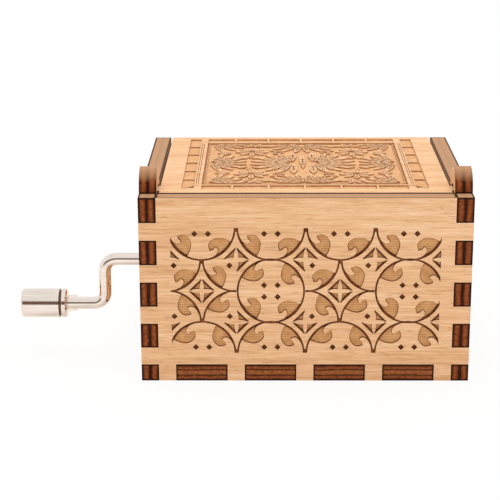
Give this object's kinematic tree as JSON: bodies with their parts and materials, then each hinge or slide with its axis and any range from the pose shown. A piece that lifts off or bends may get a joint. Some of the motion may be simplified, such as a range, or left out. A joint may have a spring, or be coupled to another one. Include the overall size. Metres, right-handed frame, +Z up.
{
  "type": "hand-cranked music box",
  "caption": "Small laser-cut plywood music box with a hinged lid, a bent wire crank with a turned knob, and a pinned-cylinder movement driven through a worm gear.",
  "frame": {"origin": "centre of the case's footprint, on the surface it stands on", "axes": "+Z up; +Y from the hinge side of the lid towards its opening side; the crank leaves the case towards -X"},
  "size_m": [0.0895, 0.052, 0.0414],
  "materials": {
    "plywood": "bare laser-cut plywood, edges burnt dark brown",
    "cast_metal": "cast zinc alloy, nickel plated, satin",
    "plated_steel": "bright zinc plated steel",
    "comb_steel": "ground spring steel",
    "lead": "dull lead",
    "screw_steel": "zinc plated",
    "nickel": "bright nickel plate",
    "brass": "satin",
    "nylon": "natural nylon"
  },
  "bodies": {
    "case": {"base_board": "plywood", "hinge_side_wall": "plywood", "opening_side_wall": "plywood", "crank_side_wall": "plywood", "far_side_wall": "plywood", "bedplate": "cast_metal", "gear_bracket": "plated_steel", "comb": "comb_steel", "comb_weights": "lead", "mounting_screws": "screw_steel", "comb_screws": "screw_steel", "bracket_screws": "screw_steel"},
    "lid": {"lid": "plywood"},
    "crank": {"worm_shaft": "plated_steel", "shaft_clip": "plated_steel", "crank_rod": "nickel"},
    "knob": {"crank_knob": "nickel"},
    "cylinder": {"pin_cylinder": "brass", "cylinder_arbor": "plated_steel", "cylinder_end_cap": "brass", "worm_wheel": "nylon"}
  },
  "joints": [
    {"name": "lid_hinge", "type": "hinge", "parent": "case", "child": "lid", "pos_m": [0, -0.0186, 0.0354], "axis": [1, 0, 0], "range_deg": [0, 130]},
    {"name": "crank_spin", "type": "hinge", "parent": "case", "child": "crank", "pos_m": [-0.035, -0.01, 0.0201], "axis": [1, 0, 0], "continuous": true},
    {"name": "knob_spin", "type": "hinge", "parent": "crank", "child": "knob", "pos_m": [-0.053, -0.01, 0.0107], "axis": [1, 0, 0], "continuous": true},
    {"name": "cylinder_spin", "type": "hinge", "parent": "case", "child": "cylinder", "pos_m": [-0.011, 0, 0.0121], "axis": [0, 1, 0], "continuous": true}
  ],
  "couplings": [
    {"joint": "cylinder_spin", "follows": "crank_spin", "ratio": -0.041667}
  ]
}
